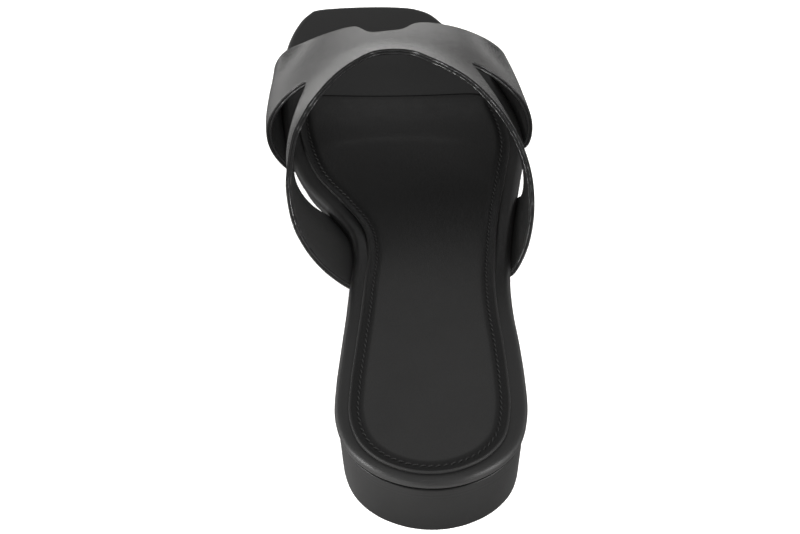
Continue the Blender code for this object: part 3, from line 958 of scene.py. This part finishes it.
def sole_ring(skin, turns, inset, up, recess):
    """One ring of the outsole, with its straight rear edge, as its first point's number and its count."""
    sides = sole_point(turns, inset, up)
    share = np.linspace(0.0, 1.0, OUTSOLE_REAR_POINTS)[1:-1, None]
    rear = sides[-1] + share * (sides[0] - sides[-1])
    ring = np.concatenate([sides, rear])
    ring[:, 2] -= recess * pocket_depth(ring, inset)
    return skin.add(ring), len(ring)


def feed(tree, node, inputs):
    """Gives a node its values and its incoming links."""
    for name, value in inputs.items():
        if isinstance(value, bpy.types.NodeSocket):
            tree.links.new(value, node.inputs[name])
        else:
            node.inputs[name].default_value = value
    return node


def add_node(tree, kind, inputs=None, **settings):
    """Shader node with its settings, its values and its incoming links."""
    made = tree.nodes.new(kind)
    for name, value in settings.items():
        setattr(made, name, value)
    return feed(tree, made, inputs or {})


def calc(tree, operation, a, b=0.0, c=0.0):
    """Result of one sum on numbers or sockets."""
    return add_node(tree, "ShaderNodeMath", {0: a, 1: b, 2: c}, operation=operation).outputs[0]


def spread(tree, value, low, high):
    """A mask from 0 to 1 as a value between two limits."""
    return add_node(tree, "ShaderNodeMapRange", {"Value": value, "To Min": low, "To Max": high}).outputs[0]


def rise(tree, value, start, stop, easing="LINEAR"):
    """A value as a mask, 0 at the start and 1 at the stop."""
    limits = {"Value": value, "From Min": start, "From Max": stop}
    return add_node(tree, "ShaderNodeMapRange", limits, interpolation_type=easing).outputs[0]


def blend(tree, mask, first, second):
    """Colour between two, by a mask."""
    return add_node(tree, "ShaderNodeMix", {0: mask, 6: first, 7: second}, data_type="RGBA").outputs[2]


def own_place(tree):
    """Place on the piece itself, in metres."""
    return tree.nodes.new("ShaderNodeTexCoord").outputs["Object"]


def mark(tree, name):
    """A mark that the mesh carries at its points."""
    return add_node(tree, "ShaderNodeAttribute", attribute_name=name).outputs["Fac"]


def noise(tree, place, scale, detail=2.0, rough=0.5):
    """Cloudy pattern from 0 to 1."""
    inputs = {"Vector": place, "Scale": scale, "Detail": detail, "Roughness": rough}
    return add_node(tree, "ShaderNodeTexNoise", inputs).outputs[0]


def cells(tree, place, scale, feature="F1"):
    """Pattern of small cells, as the distance from their middles or their edges."""
    made = add_node(tree, "ShaderNodeTexVoronoi", {"Vector": place, "Scale": scale}, feature=feature)
    return made.outputs["Distance"]


def bump(tree, height, strength, distance):
    """Relief of a surface."""
    return add_node(tree, "ShaderNodeBump", {"Height": height, "Strength": strength, "Distance": distance})


def new_group(name, inputs, outputs):
    """Empty node group with number sockets. Inputs come with their usual values."""
    group = bpy.data.node_groups.new(name, "ShaderNodeTree")
    for label, value in inputs.items():
        socket = group.interface.new_socket(label, in_out="INPUT", socket_type="NodeSocketFloat")
        socket.default_value = value
    for label in outputs:
        group.interface.new_socket(label, in_out="OUTPUT", socket_type="NodeSocketFloat")
    return group, group.nodes.new("NodeGroupInput"), group.nodes.new("NodeGroupOutput")


# Grain: how far its plates sway, in metres, how wide the creases are, how fine the small grain and the
# pores are beside the plates, and where a pore begins and is deepest
PLATE_SWAY = (0.0004, 0.0004, 0.0004)
CREASE_WIDTH = 0.16
SMALL_GRAIN = 2.6
SMALL_GRAIN_SHARE = 0.5
PORE_GRAIN = 0.8
PORE_FROM = 0.16
PORE_DEEP = 0.04

# Edge rubbing, which shares its mark with painted light on the sock lining, and scuffs: how finely the
# rubbing is broken up, how scuffs are drawn out and turned, and how much of their pattern shows
RUB_AND_LIGHT_GRAIN = 220.0
SCUFF_STRETCH = (60.0, 500.0, 500.0)
SCUFF_TURN = (0.0, 0.0, 0.5)
SCUFF_FROM = 0.62
SCUFF_FULL = 0.78


def leather_grain_group():
    """Grain of finished leather: fine plates with creases between them, pores and slow changes of tone."""
    inputs = {"Plate Size": 0.0007, "Crease Share": 0.5, "Tone Size": 0.03}
    group, given, result = new_group("leather_grain", inputs, ("Height", "Tone", "Pores"))
    place = own_place(group)
    per_plate = calc(group, "DIVIDE", 1.0, given.outputs["Plate Size"])
    warp = add_node(group, "ShaderNodeTexNoise", {"Vector": place, "Scale": per_plate}).outputs["Color"]
    sway = add_node(group, "ShaderNodeVectorMath", {0: warp, 1: PLATE_SWAY}, operation="MULTIPLY").outputs[0]
    bent = add_node(group, "ShaderNodeVectorMath", {0: place, 1: sway}, operation="ADD").outputs[0]
    crease = rise(group, cells(group, bent, per_plate, "DISTANCE_TO_EDGE"), 0.0, CREASE_WIDTH, "SMOOTHSTEP")
    creases = calc(group, "MULTIPLY", crease, given.outputs["Crease Share"])
    fine = noise(group, place, calc(group, "MULTIPLY", per_plate, SMALL_GRAIN), 3.0)
    pores = cells(group, bent, calc(group, "MULTIPLY", per_plate, PORE_GRAIN))
    per_tone = calc(group, "DIVIDE", 1.0, given.outputs["Tone Size"])
    feed(group, result, {
        "Height": calc(group, "MULTIPLY_ADD", fine, SMALL_GRAIN_SHARE, creases),
        "Tone": noise(group, place, per_tone, 4.0, 0.6),
        "Pores": rise(group, pores, PORE_FROM, PORE_DEEP),
    })
    return group


def handled_edge_and_light_group():
    """Rubbing by hands and making along the leather's cut edges, with painted light on the sock lining's ball
    ridge and front in the same mark, both broken up, and faint scuffs.
    """
    group, given, result = new_group("handled_edge_and_light", {"Reach": 1.0, "Scuff": 0.3}, ("Rub_And_Painted_Light", "Scuffs"))
    place = own_place(group)
    rub_and_light = calc(group, "MULTIPLY", mark(group, "edge_rub_and_painted_light"), noise(group, place, RUB_AND_LIGHT_GRAIN, 3.0))
    drawn = {"Vector": place, "Scale": SCUFF_STRETCH, "Rotation": SCUFF_TURN}
    scratch = noise(group, add_node(group, "ShaderNodeMapping", drawn).outputs[0], 1.0)
    shown = rise(group, scratch, SCUFF_FROM, SCUFF_FULL)
    feed(group, result, {
        "Rub_And_Painted_Light": calc(group, "MULTIPLY", rub_and_light, given.outputs["Reach"]),
        "Scuffs": calc(group, "MULTIPLY", shown, given.outputs["Scuff"]),
    })
    return group


# Tones, gloss and grain of each leather. Plate is the size of its grain in metres
Leather = namedtuple("Leather", "dark light rough_low rough_high specular plate crease depth")
LEATHERS = {
    "strap_leather": Leather(0.007, 0.011, 0.17, 0.24, 0.50, 0.0008, 0.5, 0.22),
    "strap_lining": Leather(0.008, 0.012, 0.46, 0.56, 0.25, 0.0008, 0.6, 0.25),
    "rim_leather": Leather(0.0072, 0.0108, 0.34, 0.44, 0.42, 0.0006, 0.5, 0.14),
    "sock_leather": Leather(0.0085, 0.0120, 0.54, 0.64, 0.28, 0.0007, 0.6, 0.20),
    "heel_leather": Leather(0.0025, 0.0040, 0.30, 0.40, 0.36, 0.0006, 0.5, 0.14),
}
GRAIN_DEPTH = 0.0002
WARM = (1.0, 0.99, 0.98)

# What worn marks and painted light and shade do to a leather: how far each darkens it, as a share of the dark
# tone, the channel, strap and front edge marks being painted shade and the pores grain; how they change the
# roughness, and how much of an edge's rubbing and of the painted light turns paler than the light tone, and
# by how much
WEAR_AND_SHADE_TONES = {"pressed_shade": 0.45, "strap_shade": 0.35, "raw_edge_shade": 0.2, "Pores": 0.6}
WEAR_ROUGH = {"pressed_shade": -0.12, "raw_edge_shade": 0.4, "Scuffs": 0.12, "Rub_And_Painted_Light": -0.06}
RUB_AND_LIGHT_SHARE = 0.5
RUB_AND_LIGHT_PALER = 1.8

# How fine the patterns of the other finishes are, and how the thread's twist lies
PAINT_WAVES = 200.0
RUBBER_STIPPLE = 1100.0
THREAD_TWIST = 900.0
THREAD_TWIST_TURN = (0.6, 0.4, 0.8)


def grey(level):
    """Nearly neutral black or grey."""
    return tuple(level * part for part in WARM) + (1.0,)


def new_material(name):
    """Material with its tree and its shader."""
    material = bpy.data.materials.new(name)
    material.use_nodes = True
    tree = material.node_tree
    return material, tree, tree.nodes["Principled BSDF"]


def bend_normal(tree):
    """Directions out of the strap as it bends down beyond its soft ridge."""
    height = calc(tree, "MULTIPLY", mark(tree, "bend"), -BEND_SHADE * MM)
    return bump(tree, height, 1.0, 1.0).outputs[0]


def leather(name, groups):
    """Finished black leather of one piece."""
    kind = LEATHERS[name]
    material, tree, shader = new_material(name)
    sizes = {"Plate Size": kind.plate, "Crease Share": kind.crease}
    grain = add_node(tree, "ShaderNodeGroup", sizes, node_tree=groups["leather_grain"]).outputs
    handling_and_light = add_node(tree, "ShaderNodeGroup", node_tree=groups["handled_edge_and_light"]).outputs
    wear_and_shade = {label: mark(tree, label) for label in ("pressed_shade", "strap_shade", "raw_edge_shade")}
    wear_and_shade.update({"Pores": grain["Pores"], "Scuffs": handling_and_light["Scuffs"], "Rub_And_Painted_Light": handling_and_light["Rub_And_Painted_Light"]})
    colour = blend(tree, grain["Tone"], grey(kind.dark), grey(kind.light))
    # Paler for edge rubbing and painted light, darker for painted shade and for pores
    paler = calc(tree, "MULTIPLY", wear_and_shade["Rub_And_Painted_Light"], RUB_AND_LIGHT_SHARE)
    colour = blend(tree, paler, colour, grey(kind.light * RUB_AND_LIGHT_PALER))
    for label, level in WEAR_AND_SHADE_TONES.items():
        colour = blend(tree, wear_and_shade[label], colour, grey(kind.dark * level))
    rough = spread(tree, grain["Tone"], kind.rough_low, kind.rough_high)
    for label, change in WEAR_ROUGH.items():
        rough = calc(tree, "MULTIPLY_ADD", wear_and_shade[label], change, rough)
    relief = bump(tree, grain["Height"], kind.depth, GRAIN_DEPTH)
    if name == "strap_leather":
        feed(tree, relief, {"Normal": bend_normal(tree)})
    feed(tree, shader, {
        "Base Color": colour,
        "Roughness": rough,
        "Normal": relief.outputs[0],
        "Specular IOR Level": kind.specular,
    })
    return material


def edge_paint(groups):
    """Glossy black edge paint, brushed on a little unevenly."""
    material, tree, shader = new_material("edge_paint")
    waves = noise(tree, own_place(tree), PAINT_WAVES)
    grain = add_node(tree, "ShaderNodeGroup", node_tree=groups["leather_grain"]).outputs
    feed(tree, shader, {
        "Base Color": blend(tree, waves, grey(0.003), grey(0.007)),
        "Roughness": spread(tree, grain["Tone"], 0.20, 0.30),
        "Normal": bump(tree, waves, 0.6, 0.0016).outputs[0],
        "Specular IOR Level": 0.4,
    })
    return material


def sole_rubber(groups):
    """Dense black rubber with a fine moulded stipple."""
    material, tree, shader = new_material("sole_rubber")
    stipple = cells(tree, own_place(tree), RUBBER_STIPPLE)
    grain = add_node(tree, "ShaderNodeGroup", node_tree=groups["leather_grain"]).outputs
    handling_and_light = add_node(tree, "ShaderNodeGroup", node_tree=groups["handled_edge_and_light"]).outputs
    colour = blend(tree, grain["Tone"], grey(0.012), grey(0.020))
    feed(tree, shader, {
        "Base Color": blend(tree, handling_and_light["Scuffs"], colour, grey(0.035)),
        "Roughness": spread(tree, grain["Tone"], 0.52, 0.68),
        "Normal": bump(tree, stipple, 0.25, 0.0002).outputs[0],
    })
    return material


def waxed_thread(groups):
    """Black waxed thread with its twist."""
    material, tree, shader = new_material("waxed_thread")
    laid = {"Vector": own_place(tree), "Rotation": THREAD_TWIST_TURN}
    turned = add_node(tree, "ShaderNodeMapping", laid)
    wound = {"Vector": turned.outputs[0], "Scale": THREAD_TWIST, "Distortion": 1.0}
    twist = add_node(tree, "ShaderNodeTexWave", wound).outputs["Fac"]
    grain = add_node(tree, "ShaderNodeGroup", node_tree=groups["leather_grain"]).outputs
    feed(tree, shader, {
        "Base Color": blend(tree, twist, grey(0.007), grey(0.016)),
        "Roughness": spread(tree, grain["Tone"], 0.60, 0.75),
        "Normal": bump(tree, twist, 0.4, 0.0001).outputs[0],
        "Specular IOR Level": 0.25,
    })
    return material


# The floor's half width in metres and its own glow, painted light that washes out the shoe's shadow on it.
# Then the parts of it that the leather mirrors dimly, in metres, as painted reflections: under the shoe,
# towards the camera, and on both sides of a pale lane ahead of the toe. Bright is the floor's share away from
# them
FLOOR_HALF = 4.0
FLOOR_GLOW = 0.35
Shade = namedtuple("Shade", "x back front dim_to pale_from dim")
SHADES = (
    Shade(0.03, -0.01, 0.10, 0.08, 0.21, 0.12),
    Shade(0.02, -1.20, -0.21, 0.03, 0.12, 0.12),
    Shade(-0.15, 0.35, 2.00, 0.04, 0.13, 0.40),
    Shade(0.15, 0.35, 2.00, 0.04, 0.13, 0.46),
)
FLOOR_BRIGHT = 0.92


def floor_shade(tree, place, area):
    """How bright leather mirrors the floor: dim along one line on it, pale away from it."""
    along = add_node(tree, "ShaderNodeSeparateXYZ", {"Vector": place}).outputs["Y"]
    held = add_node(tree, "ShaderNodeClamp", {"Value": along, "Min": area.back, "Max": area.front})
    middle = add_node(tree, "ShaderNodeCombineXYZ", {"X": area.x, "Y": held.outputs[0]}).outputs[0]
    away = add_node(tree, "ShaderNodeVectorMath", {0: place, 1: middle}, operation="DISTANCE")
    limits = {"From Min": area.dim_to, "From Max": area.pale_from, "To Min": area.dim, "To Max": FLOOR_BRIGHT}
    limits["Value"] = away.outputs["Value"]
    return add_node(tree, "ShaderNodeMapRange", limits, interpolation_type="SMOOTHSTEP").outputs["Result"]


def studio_floor():
    """Pale matte floor."""
    mesh = bpy.data.meshes.new("floor")
    corners = [(x * FLOOR_HALF, y * FLOOR_HALF, 0.0) for x, y in ((-1, -1), (1, -1), (1, 1), (-1, 1))]
    mesh.from_pydata(corners, [], [(0, 1, 2, 3)])
    floor = bpy.data.objects.new("floor", mesh)
    bpy.context.scene.collection.objects.link(floor)
    material, tree, shader = new_material("pale_floor")
    place = own_place(tree)
    pale = blend(tree, noise(tree, place, 3.0), grey(0.90), grey(0.92))
    # Painted reflections: the floor is dimmer only in rays that the leather mirrors
    mirrored = tree.nodes.new("ShaderNodeLightPath").outputs["Is Glossy Ray"]
    shade = FLOOR_BRIGHT
    for area in SHADES:
        shade = calc(tree, "MINIMUM", shade, floor_shade(tree, place, area))
    seen = calc(tree, "MULTIPLY_ADD", mirrored, calc(tree, "SUBTRACT", shade, 1.0), 1.0)
    dimmed = blend(tree, seen, grey(0.0), pale)
    feed(tree, shader, {
        "Base Color": dimmed,
        "Emission Color": dimmed,
        "Emission Strength": FLOOR_GLOW,
        "Roughness": 0.9,
        "Specular IOR Level": 0.1,
    })
    mesh.materials.append(material)


# Soft boxes: where they hang, what they face, their size and power, and if leather mirrors them
Softbox = namedtuple("Softbox", "name place aim width height power mirrored")
SOFTBOXES = (
    Softbox("ahead", (0.06, 2.0, 0.20), (0.0, 0.0, 0.05), 0.40, 0.36, 0.45, True),
    Softbox("inner_side", (-1.6, 0.1, 0.5), (0.0, 0.0, 0.0), 1.6, 0.9, 34.0, False),
    Softbox("outer_side", (1.6, 0.1, 0.5), (0.0, 0.0, 0.0), 1.6, 0.9, 8.0, False),
    Softbox("inner_glint", (-1.40, -0.39, 0.20), (0.0, 0.0, 0.0), 0.34, 0.30, 11.0, True),
    Softbox("outer_glint", (1.20, -0.76, 0.32), (0.0, 0.0, 0.0), 0.40, 0.56, 9.0, True),
    Softbox("overhead", (0.0, 0.0, 2.0), (0.0, 0.0, 0.0), 3.2, 3.2, 22.0, False),
    Softbox("behind", (0.1, -1.5, 1.5), (0.0, 0.0, 0.0), 1.2, 1.2, 84.0, False),
)
WORLD_LIGHT = 0.30


def studio_light():
    """Even white room with large soft boxes."""
    world = bpy.data.worlds.new("studio")
    world.use_nodes = True
    background = world.node_tree.nodes["Background"]
    background.inputs["Color"].default_value = (1.0, 1.0, 1.0, 1.0)
    background.inputs["Strength"].default_value = WORLD_LIGHT
    bpy.context.scene.world = world
    for box in SOFTBOXES:
        light = bpy.data.lights.new(box.name, "AREA")
        light.shape = "RECTANGLE"
        light.size = box.width
        light.size_y = box.height
        light.energy = box.power
        lamp = bpy.data.objects.new(box.name, light)
        lamp.location = box.place
        aim = Vector(box.aim) - Vector(box.place)
        lamp.rotation_euler = aim.to_track_quat("-Z", "Y").to_euler()
        lamp.visible_glossy = box.mirrored
        bpy.context.scene.collection.objects.link(lamp)
    bpy.context.scene.view_settings.view_transform = "Standard"


# The photo's camera: where it looks, its turn from straight behind, its drop, distance and lens
VIEW_TARGET = (-6.63, 107.23, 15.0)
VIEW_TURN = 2.5
VIEW_DROP = 42.5
VIEW_DISTANCE = 1.2
VIEW_LENS = 161.9
VIEW_SENSOR = 36.0


def photo_camera():
    """Camera behind and above the shoe, at the photo's angle."""
    turn = math.radians(VIEW_TURN)
    drop = math.radians(VIEW_DROP)
    forward = Vector((math.sin(turn) * math.cos(drop), math.cos(turn) * math.cos(drop), -math.sin(drop)))
    right = Vector((math.cos(turn), -math.sin(turn), 0.0))
    up = right.cross(forward)
    data = bpy.data.cameras.new("photo_camera")
    data.lens = VIEW_LENS
    data.sensor_width = VIEW_SENSOR
    data.sensor_fit = "HORIZONTAL"
    camera = bpy.data.objects.new("photo_camera", data)
    axes = Matrix((right, up, -forward)).transposed().to_4x4()
    target = Vector(SHOE_ORIGIN + np.array(VIEW_TARGET) * MM)
    camera.matrix_world = Matrix.Translation(target - VIEW_DISTANCE * forward) @ axes
    bpy.context.scene.collection.objects.link(camera)
    bpy.context.scene.camera = camera


def dress_shoe():
    """Every piece of the shoe with its material."""
    groups = {"leather_grain": leather_grain_group(), "handled_edge_and_light": handled_edge_and_light_group()}
    leathers = {name: leather(name, groups) for name in LEATHERS}
    strap, marks = strap_skin()
    paints = [leathers["strap_leather"], edge_paint(groups), leathers["strap_lining"]]
    make_piece("strap", strap, paints, "upper", marks)
    sock, marks = sock_skin()
    make_piece("sock", sock, [leathers["sock_leather"]], "insole", marks)
    make_piece("sock_stitching", stitch_skin(), [waxed_thread(groups)], None)
    footbed, marks = footbed_skin()
    make_piece("footbed_wrap", footbed, [leathers["rim_leather"]], "footbed", marks)
    make_piece("heel_block", heel_skin(), [leathers["heel_leather"]], "heel")
    make_piece("walking_sole", outsole_skin(), [sole_rubber(groups)], "outsole")


dress_shoe()
studio_floor()
studio_light()
photo_camera()
